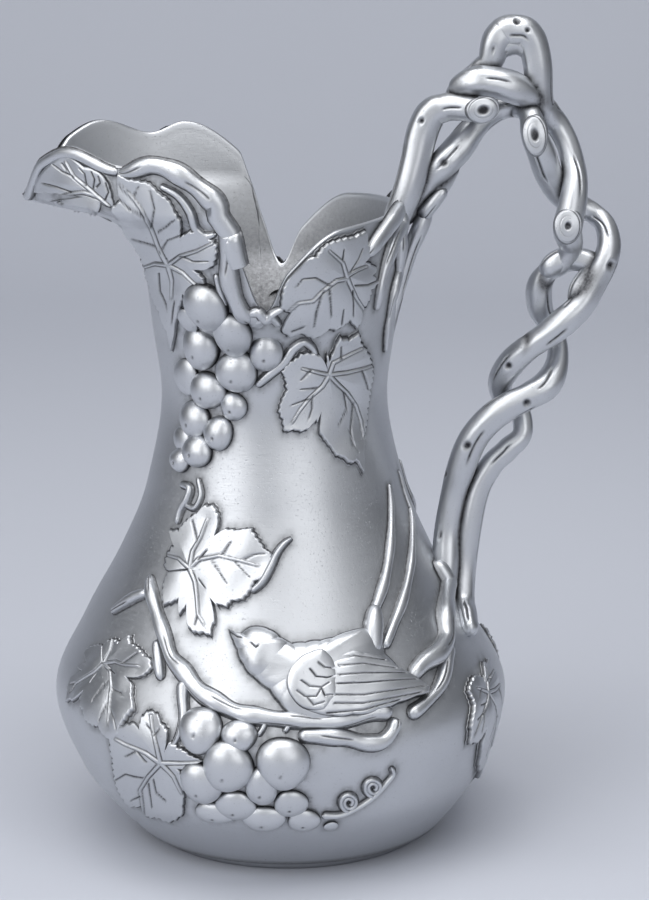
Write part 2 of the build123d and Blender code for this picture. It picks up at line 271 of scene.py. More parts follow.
def cast_metal(name, bright, toned_and_shaded, polish, pit_depth):
    """Polished metal, darkened where the stored number says, by tone in its recesses and by painted
    shade; polish is the roughness of its smoothest patches.
    """
    material = bpy.data.materials.new(name)
    material.use_nodes = True
    tree = material.node_tree
    tree.nodes.clear()
    place = node(tree, "ShaderNodeTexCoord", {}, {}, "Object")

    def noise(scale, detail, roughness=0.6):
        sockets = {"Vector": place, "Scale": scale, "Detail": detail, "Roughness": roughness}
        return node(tree, "ShaderNodeTexNoise", {}, sockets)

    # The stored number holds the tone of recesses and painted shade alike; both darken the colour.
    patina_and_shade_share = node(tree, "ShaderNodeAttribute", {"attribute_name": "patina_and_shade"}, {}, "Fac")
    clouds = noise(28.0, 3.0)
    specks = noise(650.0, 4.0, 0.7)
    pits = noise(1500.0, 2.0).between(0.36, 0.2)
    stretched = node(tree, "ShaderNodeMapping", {}, {"Vector": place, "Scale": (160.0, 160.0, 2600.0)})
    brushed = node(tree, "ShaderNodeTexNoise", {}, {"Vector": stretched, "Scale": 1.0, "Detail": 3.0})
    toning_and_shade = (patina_and_shade_share * (0.55 + specks * 0.9) + (clouds - 0.5) * 0.12 + pits * 0.35).clamp()
    mix = {0: toning_and_shade, 6: (*bright, 1.0), 7: (*toned_and_shaded, 1.0)}
    colour = node(tree, "ShaderNodeMix", {"data_type": "RGBA"}, mix, 2)
    rough = (polish + clouds * 0.14 + (brushed - 0.5) * 0.16 + toning_and_shade * 0.3).clamp()
    height = clouds * 0.5 + brushed * 0.10 + specks * 0.16 - pits * 0.5
    raised = {"Strength": 0.55, "Distance": pit_depth, "Height": height}
    bump = node(tree, "ShaderNodeBump", {}, raised, "Normal")
    sockets = {"Base Color": colour, "Roughness": rough, "Metallic": 1.0, "Normal": bump}
    shader = node(tree, "ShaderNodeBsdfPrincipled", {}, sockets, "BSDF")
    tree.links.new(shader.socket, tree.nodes.new("ShaderNodeOutputMaterial").inputs["Surface"])
    return material


# The second colour of each metal is its dark one, used for the patina and for painted shade alike.
RELIEF_TONING_AND_SHADE, VINE_TONING_AND_SHADE = (0.05, 0.05, 0.055), (0.045, 0.045, 0.05)
body_metal = cast_metal("satin_body_metal", (0.60, 0.615, 0.64), (0.10, 0.10, 0.105), 0.33, 0.0005)
relief_metal = cast_metal("polished_relief_metal", (0.62, 0.635, 0.66), RELIEF_TONING_AND_SHADE, 0.31, 0.0004)
vine_metal = cast_metal("polished_vine_metal", (0.60, 0.615, 0.64), VINE_TONING_AND_SHADE, 0.29, 0.0004)
base_metal = cast_metal("dull_base_metal", (0.45, 0.46, 0.49), (0.10, 0.10, 0.11), 0.42, 0.0006)

# %% [markdown]
# ## The camera
# The photograph was taken from a little above the rim, a metre away, with a long lens. The
# view is written as two angles, a small roll, a distance and the point looked at.

# %% Camera
azimuth, elevation, roll = np.radians([2.26, 12.95, -0.27])
LOOK_AT = np.array([14.49, 0.0, 153.59])
DISTANCE = 1063.25
FOCAL_PIXELS = 2695.6
PHOTO_HEIGHT = 900
SENSOR = 36.0
level = np.array([np.cos(azimuth), np.sin(azimuth), 0.0])
behind = np.array([np.sin(azimuth), -np.cos(azimuth), 0.0])
back = behind * np.cos(elevation) + np.array([0.0, 0.0, np.sin(elevation)])
above = np.cross(back, level)
right = np.cos(roll) * level + np.sin(roll) * above
up = np.cos(roll) * above - np.sin(roll) * level
stand = (LOOK_AT + DISTANCE * back) * MM
lens = bpy.data.cameras.new("camera")
lens.sensor_width = SENSOR
lens.lens = FOCAL_PIXELS / PHOTO_HEIGHT * SENSOR


def place(thing, x_axis, y_axis, z_axis, where):
    """Put a camera or lamp in the scene, with its axes as the columns of its matrix."""
    axes = np.column_stack([x_axis, y_axis, z_axis, where])
    thing.matrix_world = Matrix(np.vstack([axes, [0, 0, 0, 1]]).tolist())
    bpy.context.collection.objects.link(thing)


camera = bpy.data.objects.new("camera", lens)
place(camera, right, up, back, stand)
bpy.context.scene.camera = camera
print("camera lens", round(lens.lens, 1), "mm")

# %% [markdown]
# ## Places as the camera sees them
# The leaves and the bird are drawn as the camera sees them. Their outlines are places in a
# picture 649 wide and 900 high, counted across from its left edge and down from its top. To
# lay such a place on the wall we guess a point, look where the camera sees it, and move the
# guess by the difference until the two agree. The places are written as text, row by row.

# %% From the picture to the wall
PHOTO_WIDTH = 649
PIXELS_PER_MM = FOCAL_PIXELS / DISTANCE


def rows(places, width=2):
    """Rows of numbers, each this wide, from a text or a list."""
    places = places.split() if isinstance(places, str) else places
    return np.array(places, float).reshape(-1, width)


def picture_place(points):
    """Across and down in the picture: sideways and upward parts over the distance ahead."""
    ray = points - stand / MM
    ahead = -(ray @ back)
    across = PHOTO_WIDTH / 2 + FOCAL_PIXELS * (ray @ right) / ahead
    return across, PHOTO_HEIGHT / 2 - FOCAL_PIXELS * (ray @ up) / ahead


def seen_at(across, down, sweeps=16):
    """Turn and height of the near wall's point that the camera sees at a place."""
    x = (across - PHOTO_WIDTH / 2) / PIXELS_PER_MM + LOOK_AT[0]
    z = (PHOTO_HEIGHT / 2 - down) / PIXELS_PER_MM + LOOK_AT[2]
    for _ in range(sweeps):
        seen_across, seen_down = picture_place(on_wall(turn_at(x, z), z))
        x = x + 0.8 * (across - seen_across) / PIXELS_PER_MM
        z = z - 0.8 * (down - seen_down) / PIXELS_PER_MM
    return turn_at(x, z), z


middle_turn, middle_height = seen_at(np.array([300.0]), np.array([560.0]))
print("the camera sees turn", round(float(middle_turn[0])), "at height", round(float(middle_height[0])))

# %% [markdown]
# ## The body
# The wall is one grid: up the outside, over the rounded rim, and down the inside to the
# floor. The rim rises and falls round the mouth, so each column of the grid ends at its own
# height, where the wall meets the rim's line. The cast wall is never quite true, so a few
# slow waves, a quarter of a millimetre deep, run through it.

# %% Rim height at each turn, and the body mesh


def rim_height(turn):
    """Lowest height at which the wall's x, at this turn, lies on or above the rim line."""
    z = np.linspace(206, 291, 861)[:, None]
    x = on_wall(turn[None, :], z)[..., 0]
    over = z - smooth_through(RIM, x)
    first = np.argmax(over > 0, axis=0)
    column = np.arange(len(turn))
    a, b = over[first - 1, column], over[first, column]
    return z[first - 1, 0] + (z[1, 0] - z[0, 0]) * a / (a - b)


def waves(turn, z):
    """Sum of four slow sine waves, kept at or below zero so that the wall never grows."""
    t = np.radians(turn)
    total = np.sin(3 * t + z / 17) + np.sin(5 * t - z / 11 + 1)
    return 0.09 * (total + np.sin(2 * t + z / 29 + 2) + np.sin(7 * t + z / 23)) - 0.36


COLUMNS = 480
RIM_DROP = 1.4
HALF_EDGE = 1.25
EDGE_RISE = 1.3
even = np.linspace(0, 360, COLUMNS, endpoint=False)
turns = even + 14 * np.sin(np.radians(2 * even))
rim = rim_height(turns)
low_rows = np.linspace(FOOT_HEIGHT, COLLAR_HEIGHT, 90)
shares = np.linspace(0, 1, 42)[1:]
mouth_rows = COLLAR_HEIGHT + shares[:, None] * (rim - RIM_DROP - COLLAR_HEIGHT)
heights = np.concatenate([np.repeat(low_rows[:, None], COLUMNS, 1), mouth_rows])
outer = on_wall(turns, heights, waves(turns, heights))
rim_turn = np.radians(np.linspace(0, 180, 9))[1:-1, None]
edge_top = on_wall(turns, rim - RIM_DROP)
inward = -wall_normal(turns, rim - RIM_DROP)
inward[..., 2] *= 0.25
inward = unit(inward)
edge = edge_top + inward * (HALF_EDGE * (1 - np.cos(rim_turn)))[..., None] + \
    (np.array([0, 0, EDGE_RISE]) * np.sin(rim_turn)[..., None])
inside_top = edge_top + inward * 2 * HALF_EDGE
inner_heights = np.concatenate(
    [mouth_rows[::-1][1:],
     np.repeat(np.linspace(COLLAR_HEIGHT, FLOOR_TOP, 20)[:, None], COLUMNS, 1)])
inner = on_wall(turns, inner_heights, -WALL)
settle = np.exp(-np.arange(len(inner)) / 3.0)[:, None, None]
inner = inner + settle * (inside_top - on_wall(turns, rim - RIM_DROP, -WALL))
floor_shares = np.linspace(1, 0.02, 6)[1:, None, None]
floor_rows = inner[-1] * floor_shares + (1 - floor_shares) * np.array([0, 0, FLOOR_TOP])
rows_all = np.concatenate([outer, edge, inside_top[None], inner, floor_rows])
print("body grid", rows_all.shape)

# %% [markdown]
# ## Raised shapes
# Leaves, the bird and its wing are all *raised shapes*. Each has a middle, an outline round
# it, ribs and cuts. From the middle we step outwards by shares of the outline's reach, so a
# shape is a round grid. A rib is a thin ridge with a dark line on both sides, and a cut is
# one dark line. The edge falls as a quarter circle and is painted dark at its foot, and a thin
# dark flange round it lies on the wall: painted shade in the corner with the wall, together
# with the toning that gathers there.

# %% Raised shape formula
SPOKES = 384
TOOTH = 2.6
TOOTH_TIP = 0.72
# The dark band at the foot of each edge and the flange's numbers are painted shade in the corner with
# the wall, with the toning that gathers there.
EDGE_SHADE_AND_TONING = 0.28
RIB_WIDTH, RIB_TAPER, RIB_VALLEY = 0.75, 0.35, 3.2
FLANGE_REACH = rows("0.15 0.55 1.0", 1)
FLANGE_HEIGHT = rows("0.12 0.06 -0.25", 1)
FLANGE_SHADE_AND_PATINA = rows("0.95 0.75 0.2", 1)


def outline_reach(middle, outline, teeth):
    """Reach of the outline at even angles, plus teeth as a sawtooth of the length gone round."""
    step = outline - middle
    angle = np.arctan2(step[:, 1], step[:, 0])
    reach = np.hypot(step[:, 0], step[:, 1])
    order = np.argsort(angle)
    angle, reach = angle[order], reach[order]
    even = np.linspace(-np.pi, np.pi, SPOKES, endpoint=False)
    base = np.interp(even, angle, reach, period=2 * np.pi)
    length = np.cumsum(np.hypot(base * 2 * np.pi / SPOKES, np.abs(np.roll(base, -1) - base)))
    tooth = (length / (TOOTH * PIXELS_PER_MM)) % 1
    saw = np.where(tooth < TOOTH_TIP, tooth / TOOTH_TIP, (1 - tooth) / (1 - TOOTH_TIP)) - 0.5
    return even, base + teeth * PIXELS_PER_MM * saw


def line_distance(across, down, lines):
    """Least distance in millimetres from each place to the lines, and how far along it lies."""
    nearest = np.full(across.shape, 99.0)
    along = np.zeros(across.shape)
    for line in lines:
        total = np.linalg.norm(np.diff(line, axis=0), axis=1).sum()
        gone = 0.0
        for (ax, ay), (bx, by) in zip(line[:-1], line[1:]):
            size = np.hypot(bx - ax, by - ay)
            t = np.clip(((across - ax) * (bx - ax) + (down - ay) * (by - ay)) / size ** 2, 0, 1)
            gap = np.hypot(across - ax - t * (bx - ax), down - ay - t * (by - ay)) / PIXELS_PER_MM
            along = np.where(gap < nearest, (gone + t * size) / total, along)
            nearest = np.minimum(gap, nearest)
            gone += size
    return nearest, along


def shape(middle, outline, ribs="", cuts=""):
    """A drawn shape, from texts of places; a semicolon parts one rib or cut from the next."""
    ribs, cuts = ([rows(line) for line in text.split(";") if line] for text in (ribs, cuts))
    return dict(middle=middle, outline=rows(outline), ribs=ribs, cuts=cuts)


def raised_shape(middle, outline, ribs, cuts, rise, edge, dome=0.0, teeth=0.0, lift=0.0, limit=None):
    """Height = rise (quarter circle of the edge) + dome (1 - share^2) + ribs - cuts, on the wall."""
    middle = np.array(middle, float)
    angle, reach = outline_reach(middle, outline, teeth)
    share = np.concatenate([np.linspace(0, 0.9, 30)[1:], np.linspace(0.915, 1, 9)])[:, None]
    far = share * reach
    across, down = middle[0] + far * np.cos(angle), middle[1] + far * np.sin(angle)
    inside = np.minimum((reach - far) / PIXELS_PER_MM / edge, 1)
    height = rise * np.sqrt(np.clip(1 - (1 - inside) ** 2, 0, 1)) + dome * (1 - share ** 2.2) ** 0.6
    # Dark at the foot of the edge: painted shade in the corner with the wall, with toning.
    patina_and_shade = 0.9 * np.exp(-(inside * edge / EDGE_SHADE_AND_TONING) ** 2)
    if ribs:
        gap, along = line_distance(across, down, ribs)
        wide = RIB_WIDTH - RIB_TAPER * along
        dark = np.exp(-((gap - wide - 0.15) / 0.24) ** 2)
        ridge = 0.5 * np.exp(-(gap / wide) ** 2)
        height = height + ridge - 0.30 * dark - 0.5 * np.exp(-(gap / RIB_VALLEY) ** 2)
        patina_and_shade = np.maximum(patina_and_shade, dark * (0.95 - 0.35 * along))
    if cuts:
        gap, along = line_distance(across, down, cuts)
        dark = np.exp(-(gap / (0.36 - 0.1 * along)) ** 2)
        height = height - 0.5 * dark
        patina_and_shade = np.maximum(patina_and_shade, 0.95 * dark)
    height = height + 0.18 * np.sin(across / 7.3 + down / 11.0) * np.minimum(inside, 1)
    # The flange is a thin dark sheet lying on the wall round the shape: painted shade, with the toning
    # in the corner.
    flange = reach + FLANGE_REACH * PIXELS_PER_MM
    across = np.concatenate([across, middle[0] + flange * np.cos(angle)])
    down = np.concatenate([down, middle[1] + flange * np.sin(angle)])
    height = np.concatenate([height + lift, np.repeat(FLANGE_HEIGHT, SPOKES, 1)])
    patina_and_shade = np.concatenate([patina_and_shade, np.repeat(FLANGE_SHADE_AND_PATINA, SPOKES, 1)])
    turn, z = seen_at(across, down)
    if limit is not None:
        z = np.minimum(z, limit(turn))
    surface = on_wall(turn, z) + wall_normal(turn, z) * height[..., None]
    hub_place = surface[0].mean(0)
    points = np.concatenate([surface.reshape(-1, 3), hub_place[None]])
    hub = fan(np.arange(SPOKES), len(points) - 1, turned=True)
    faces = np.concatenate([grid_faces(len(surface), SPOKES, True), hub])
    return points, faces, np.append(patina_and_shade.ravel(), 0.3)


# %% [markdown]
# ## Berries
# A berry is a low ball that sits in the wall. Its foot turns in and is painted dark: painted
# shade under the ball, together with the toning that collects there. Most have a small dark
# pit below the middle, where the flower was.

# %% Berry formula
BERRY_RINGS, BERRY_COLUMNS = 21, 48


def across_and_up(normal):
    """The level direction and the upward one, both at right angles to a normal."""
    side = unit(np.cross([0, 0, 1.0], normal))
    return side, np.cross(normal, side)


def berry(across, down, half_across, half_down, flat=0.72, pit=True):
    """Ball over an ellipse of the picture: height = depth cos(bend) down to its sunken foot."""
    turn, z = seen_at(np.array(float(across)), np.array(float(down)))
    centre, normal = on_wall(turn, z), wall_normal(turn, z)
    side, top = across_and_up(normal)
    facing = max(abs(float(side @ right)), 0.5)
    rx = half_across / PIXELS_PER_MM / facing
    rz = half_down / PIXELS_PER_MM / max(abs(float(top @ up)), 0.5)
    bend = np.radians(np.linspace(0, 104, BERRY_RINGS + 1))[1:, None]
    spin = np.radians(np.linspace(0, 360, BERRY_COLUMNS, endpoint=False))[None, :]
    lump = 1 + 0.03 * np.sin(3 * spin + across) * np.sin(bend) + 0.02 * np.sin(2 * spin + down)
    sideways = rx * np.sin(bend) * np.cos(spin) * lump
    climb = rz * np.sin(bend) * np.sin(spin) * lump
    depth = (rx + rz) / 2
    dot = np.exp(-(((sideways + 0.1 * rx) ** 2 + (climb + 0.28 * rz) ** 2) / 0.30)) * pit
    rise = depth * flat * np.cos(bend) - 0.6 * dot
    points = centre + side * sideways[..., None] + top * climb[..., None] + normal * rise[..., None]
    pole = centre + normal * depth * flat
    # The turned-in foot is painted dark: painted shade under the ball, with the toning there. The dot
    # is the dark pit where the flower was.
    patina_and_shade = np.broadcast_to(np.clip((bend - 1.22) / 0.3, 0, 1), sideways.shape) + 0.95 * dot
    points = np.concatenate([points.reshape(-1, 3), pole[None]])
    hub = fan(np.arange(BERRY_COLUMNS), len(points) - 1)
    faces = np.concatenate([grid_faces(BERRY_RINGS, BERRY_COLUMNS, True)[:, ::-1], hub])
    return points, faces, np.append(patina_and_shade.ravel(), 0.0)


# %% [markdown]
# ## Runs along the wall
# Branches, tendrils and tail feathers are half-round runs along the wall. A run follows a
# smooth line through a few places, each with its half width and its height in millimetres.
# Short lines cut along it make the bark, and they carry the patina. Its foot along the wall
# is painted dark as well: painted shade in the corner, with the toning there.

# %% Run formula
STEP = 0.6
RUN_COLUMNS = 29


def smooth_line(places, count):
    """Cubic line through places, each slope the mean of its two sides; rows of the result."""
    step = np.linalg.norm(np.diff(places[:, :2], axis=0), axis=1)
    at = np.concatenate([[0], np.cumsum(step)])
    rate = np.diff(places, axis=0) / step[:, None]
    slope = np.concatenate([rate[:1], (rate[:-1] + rate[1:]) / 2, rate[-1:]])
    s = np.linspace(0, at[-1], count)
    i = np.clip(np.searchsorted(at, s) - 1, 0, len(step) - 1)
    h = step[i][:, None]
    t = ((s - at[i])[:, None]) / h
    low = places[i] * (1 + 2 * t) * (1 - t) ** 2 + h * slope[i] * t * (1 - t) ** 2
    return low + places[i + 1] * t * t * (3 - 2 * t) - h * slope[i + 1] * t * t * (1 - t), s


def run(places, cuts=3, cut_depth=0.3, limit=None):
    """Half-round run through places (across, down, half width, height), with lines cut along it."""
    places = rows(places, 4)
    length = np.abs(np.diff(places[:, :2], axis=0)).sum() / PIXELS_PER_MM
    line, s = smooth_line(places, max(16, int(length / STEP)))
    s = s / PIXELS_PER_MM
    half, high = np.maximum(line[:, 2], 0.15), np.maximum(line[:, 3], 0.15)
    to_end = np.clip(np.minimum(s, s[-1] - s) / (1.3 * half), 0, 1)
    rounding = np.sqrt(np.maximum(1 - (1 - to_end) ** 2, 0.02))
    half, high = half * rounding, high * rounding
    turn, z = seen_at(line[:, 0], line[:, 1])
    if limit is not None:
        z = np.minimum(z, limit(turn) - 0.6 * half)
    middle, normal = on_wall(turn, z), wall_normal(turn, z)
    ahead = unit(np.gradient(middle, axis=0))
    across = unit(np.cross(normal, ahead))
    bend = np.radians(np.linspace(0, 180, RUN_COLUMNS))[None, :]
    phase = s[:, None] / 5 + line[0, 0]
    sway = 0.5 * np.sin(s[:, None] / 4.1 + line[0, 1])
    groove = np.maximum(0, np.cos(bend * (cuts + 1) + sway)) ** 10
    dashes = np.clip(3 * np.sin(phase + 2.2 * np.round(bend * (cuts + 1) / np.pi / 2)) - 0.6, 0, 1)
    groove = groove * dashes * (np.sin(bend) > 0.35) * (cuts > 0)
    lumps = 1 + 0.10 * np.sin(s[:, None] / 2.7 + line[0, 0]) * (cuts > 0)
    rise = high[:, None] * lumps * np.sin(bend) ** 0.7 - cut_depth * groove
    sideways = half[:, None] * np.cos(bend) * lumps
    sideways[:, 0] = sideways[:, 0] + 0.7
    sideways[:, -1] = sideways[:, -1] - 0.7
    rise[:, [1, -2]] = 0.1
    rise[:, [0, -1]] = -0.2
    points = middle[:, None] + across[:, None] * sideways[..., None] + normal[:, None] * rise[..., None]
    ends = middle[[0, -1]] + ahead[[0, -1]] * np.array([[-0.5], [0.5]]) * half[[0, -1], None] + \
        normal[[0, -1]] * high[[0, -1], None] * 0.2
    flat = np.concatenate([points.reshape(-1, 3), ends])
    corners = points.size // 3
    ring = np.arange(RUN_COLUMNS)
    faces = np.concatenate([grid_faces(len(points), RUN_COLUMNS), fan(ring, corners, closed=False),
                            fan(corners - RUN_COLUMNS + ring, corners + 1, turned=True, closed=False)])
    # The foot of the run along the wall, and its two end points, are painted dark: painted shade in the
    # corner with the wall, with the toning there; the grooves hold the toning of the bark.
    patina_and_shade = 0.95 * groove + np.clip(1 - np.sin(bend) / 0.3, 0, 1) * 0.95
    return flat, faces, np.concatenate([patina_and_shade.ravel(), [0.6, 0.6]])


# %% [markdown]
# ## Leaves on the pitcher
# Six leaves are drawn place by place. The two that the camera sees edge on, by the left
# and right outlines of the bowl, repeat the outline of another leaf, moved and turned.

# %% Outlines of the leaves
NECK_LEAF = shape((328, 374), """
    320 355  326 368  328 361  326 352  333 349  335 342  339 336  348 338  358 332  360 342  366 350
    370 360  372 370  369 388  368 398  366 410  364 430  362 450  362 474  356 462  348 464  342 458
    335 456  330 448  324 441  318 432  316 423  320 410  315 420  306 430  299 432  294 430  284 432
    282 420  278 411  281 400  286 390  285 380  281 370  288 362  296 357  300 353  311 352""", """
    328 374  322 385  308 398  299 410  292 422;
    328 374  335 382  345 392  354 405  359 420  361 435; 328 374  315 371  302 368;
    328 374  332 362  348 354  360 348; 328 374  345 372  360 368  369 365""", """
    308 398  291 404; 311 395  311 408  308 418; 342 392  344 408  336 425;
    351 402  348 430  350 445; 316 387  300 388; 360 370  365 388; 340 358  339 345;
    310 369  300 379""")
COLLAR_LEAF = shape((346, 278), """
    365 230  366 242  371 252  365 261  376 268  372 275  377 282  370 290  368 300  362 310  360 322
    355 328  348 320  341 326  334 330  328 328  320 335  312 338  300 332  288 336  281 330  285 320
    290 313  280 308  281 300  284 282  290 269  300 260  315 256  325 244  338 239  352 236""", """
    346 278  335 280  322 290  312 300  298 302  289 310; 346 278  341 262  329 251;
    346 278  349 285  355 298  363 310; 346 275  355 270  365 266""", """
    322 290  315 310  313 325; 329 285  315 277  302 278  295 286; 341 260  342 249;
    350 270  356 259  360 248; 351 290  352 300  351 314; 328 288  330 315;
    354 285  365 284  374 280; 340 322  342 308; 302 325  291 329""")
BOWL_LEAF = shape((191, 569), """
    190 518  200 511  204 505  215 505  220 514  220 525  216 536  225 529  238 530  252 528  258 538
    266 550  271 552  274 568  265 578  255 582  252 591  244 600  232 602  228 608  219 605  212 599
    219 609  216 622  212 629  212 637  205 634  195 634  188 626  180 616  188 606  180 600  165 606
    164 590  170 572  166 568  169 552  175 545  171 530  180 530""", """
    191 569  194 552  202 538  208 521; 191 569  200 560  220 556  240 561  258 566;
    191 569  196 582  198 600  199 615  205 625; 191 569  180 559  170 556""", """
    199 542  194 521; 212 561  219 570  228 584; 235 561  250 578; 224 554  232 542;
    245 560  255 555  265 554; 189 570  172 572; 198 618  196 626; 200 560  208 551;
    200 580  206 588""")
LOW_LEAF = shape((162, 762), """
    150 710  159 714  162 722  169 730  171 741  166 752  180 747  192 754  204 760  192 766  180 768
    185 790  184 805  185 812  176 819  170 821  160 816  148 816  141 806  130 805  121 792  115 772
    114 758  111 740  112 730  122 726  135 722  140 728  143 716""", """
    162 762  148 752  128 744  118 738; 162 762  159 748  154 730  152 716;
    162 762  150 775  142 788  145 812; 162 762  175 775  183 791; 162 762  182 762  200 761""", """
    142 795  134 798; 145 776  128 772  118 778; 148 760  138 750  128 755;
    155 778  158 790  168 798; 150 782  154 805; 156 735  161 729; 154 732  148 725""")
LIP_LEAF = shape((96, 196), """
    30 182  38 169  50 158  60 153  70 156  82 164  94 168  106 179  110 188  112 198  114 208
    100 203  82 197  70 195  58 201  51 210  40 210  32 204  29 192""", """
    96 196  85 186  72 175  63 160; 96 196  82 192  68 193  52 199  44 206;
    96 196  102 200  110 207""", """
    72 175  60 170  50 162; 85 185  84 172  78 166; 70 192  55 186  40 182; 92 188  94 178  91 170;
    96 186  100 182  98 175; 105 200  109 192  106 182; 64 168  59 161""")
THROAT_LEAF = shape((170, 264), """
    118 172  128 178  140 180  150 182  160 192  170 200  176 212  182 221  182 235  190 230  198 230
    210 237  218 243  218 255  215 265  208 269  196 268  206 280  205 288  195 298  186 294  182 306
    178 322  173 352  170 332  162 312  155 298  152 285  146 268  142 255  135 242  121 222  111 208
    121 200  118 188""", """
    170 264  160 245  152 225  142 208  132 195  122 185; 170 264  182 255  198 250  214 242;
    170 264  174 280  174 296; 170 264  158 262  147 266; 170 264  185 272  200 286""", """
    152 225  156 208  152 190; 146 215  130 208  122 199; 160 246  145 240  136 237;
    163 250  170 238  185 232; 162 272  163 290  170 305; 182 255  195 260  210 260;
    160 230  172 220  176 218; 177 300  175 320; 135 196  140 186""")


# %% Leaves


def under_rim(turn):
    """Just under the rim at a turn, so that a leaf folds along the lip and stays below it."""
    order = np.argsort(turns)
    return np.interp(turn, turns[order], rim[order]) - 1.6


def moved(drawn, middle, size, tilt):
    """Scale and turn every place of a shape about its middle, then shift it to a new middle."""
    t = np.radians(tilt)
    spin = np.array([[np.cos(t), -np.sin(t)], [np.sin(t), np.cos(t)]])

    def shift(places):
        return (places - drawn["middle"]) * size @ spin.T + middle

    ribs, cuts = ([shift(line) for line in drawn[key]] for key in ("ribs", "cuts"))
    return dict(middle=middle, outline=shift(drawn["outline"]), ribs=ribs, cuts=cuts)


def round_wall(patch, degrees_on):
    """Carry a patch round the wall by a turn, scaled so that it stays on the surface."""
    points, faces, patina_and_shade = patch
    middle, back_reach, front_reach, width = girth(points[:, 2])
    reach = np.where(points[:, 0] > middle, back_reach, front_reach)
    turn = np.arctan2(-points[:, 1] / width, (points[:, 0] - middle) / reach)
    share = np.hypot(points[:, 1] / width, (points[:, 0] - middle) / reach)
    turn = turn + np.radians(degrees_on)
    reach = np.where(np.cos(turn) > 0, back_reach, front_reach)
    x, y = middle + share * reach * np.cos(turn), -share * width * np.sin(turn)
    return np.stack([x, y, points[:, 2]], -1), faces, patina_and_shade


def leaf(name, drawn, *runs, rise=1.7, edge=1.1, teeth=0.7, limit=None):
    """Both sides of one leaf, with any runs that are cast in one piece with it."""
    both_sides(name, [raised_shape(**drawn, rise=rise, edge=edge, teeth=teeth, limit=limit), *runs])


leaf("spout_leaf", moved(LIP_LEAF, (97.0, 196.0), 0.94, 0), run("""
    30 204 1 1  28 190 1.7 1.5  33 172 1.8 1.6  44 158 1.8 1.6  60 150 1.8 1.6  80 152 1.8 1.5
    98 158 1.8 1.5  118 166 1.2 1.2""", 0, limit=under_rim),
     rise=0.9, edge=1.8, teeth=0.0, limit=under_rim)
leaf("throat_leaf", THROAT_LEAF, limit=under_rim)
leaf("collar_leaf", COLLAR_LEAF, run("""
    422 206 0.8 0.8  417 218 2.8 3.2  410 236 3.2 3.6  401 262 2.8 3  393 290 2.2 2.4
    388 320 1.4 1.6  385 346 0.8 1""", 4, 0.5), run("""
    408 205 0.8 0.8  402 218 3 3.6  394 236 3.4 3.8  386 260 2.6 2.8  380 286 2 2.2
    376 310 1 1.2""", 4, 0.5),
     run("402 202 0.8 0.8  395 212 3 3.6  385 228 3.8 4  374 244 2.8 2.8  366 256 1.8 1.8", 2, 0.3),
     run("392 300 1.2 1.4  387 325 1.3 1.6  385 352 0.8 1", 1),
     rise=1.5, edge=1.3, teeth=0.5, limit=under_rim)
leaf("neck_leaf", NECK_LEAF)
leaf("bowl_leaf", BOWL_LEAF, run("""
    251 592 0.9 1.2  262 582 1.3 2.4  270 568 1.4 2.8  277 553 1.2 2.6  285 543 0.9 2
    292 538 0.4 1""", 0))
leaf("low_leaf", LOW_LEAF)
for name, drawn, degrees_on in (
        ("side_leaf", moved(BOWL_LEAF, (250.0, 690.0), 1.0, 60), 47),
        ("heel_leaf", moved(NECK_LEAF, (330.0, 735.0), 0.85, 10), -52)):
    patch = raised_shape(**drawn, rise=1.7, edge=1.1, teeth=0.7)
    both_sides(name, [round_wall(patch, degrees_on)])

# %% [markdown]
# ## Grapes
# Two bunches hang on each side: one on the neck, under the notch of the rim, and one on the
# bowl. Each berry has its place in the picture and its half widths there.

# %% Grapes
NECK_BERRIES = rows("""
    207 306 20 20  202 347 16 22  233 333 18 18  237 371 20 20  209 390 17 18  234 406 13 14
    196 419 14 18  219 433 14 17  198 451 14 16  181 460 9 12  266 352 16 18""", 4)
NECK_FLAT = rows("188 320 9 11  187 377 12 18  182 438 8 12  256 318 9 9", 4)
BOWL_BERRIES = rows("""
    201 730 20 23  239 736 17 16  228 766 24.5 24.5  283 763 25.5 25.5  202 782 20 20
    262 785 16 19""", 4)
BOWL_FLAT = rows("236 805 20 15  291 803 17 13  264 818 21 13  304 820 16 11  216 812 20 11", 4)
both_sides("neck_grapes", [berry(*row) for row in NECK_BERRIES] +
           [berry(*row, 0.4, False) for row in NECK_FLAT])
both_sides("bowl_grapes", [berry(*row, 0.66) for row in BOWL_BERRIES] +
           [berry(*row, 0.5) for row in BOWL_FLAT])

# %% [markdown]
# ## Branches and tendrils
# A branch crosses the bowl above the lower grapes. On the left it forks up to the leaves,
# and on the right it ends in a knot where a thick vine comes down from the handle.

# %% Branches, tendrils and the vine by the rim
both_sides("branch", [
    run("""
        150 575 1.6 1.6  152 592 2.4 2.8  158 615 2.6 3  166 640 2.5 2.8  172 658 2.6 3  184 672 3 3.4
        198 690 3.2 3.6  216 702 3.2 3.6  236 712 3 3.2  262 717 3 3.2  292 720 2.8 3  325 722 2.6 3
        352 719 2.6 3  376 712 2.8 3.4  392 712 3.2 4""", 4, 0.45),
    run("112 612 1.6 2  124 604 1.8 2.2  138 596 2.2 2.6  150 592 2.2 2.6", 2),
    run("156 640 1.6 2  158 656 1.8 2.2  160 672 1.9 2.2  161 680 1.4 1.6", 2),
    run("184 680 2.4 2.8  183 698 2.2 2.4  184 716 1.6 1.8  180 732 1.2 1.4  172 748 0.9 1.1", 2),
    run("""
        298 736 2.4 2.6  318 736 2.8 3.2  345 738 2.8 3.2  366 743 2.8 3.2  382 741 2.6 3.2
        392 730 2.6 3.4  396 718 3 3.8""", 3, 0.4),
    run("266 722 0.9 1.4  262 730 0.9 1.4  258 736 0.8 1", 0),
    run("294 716 0.9 1.6  289 725 1 1.8  284 733 0.8 1.2", 0)])


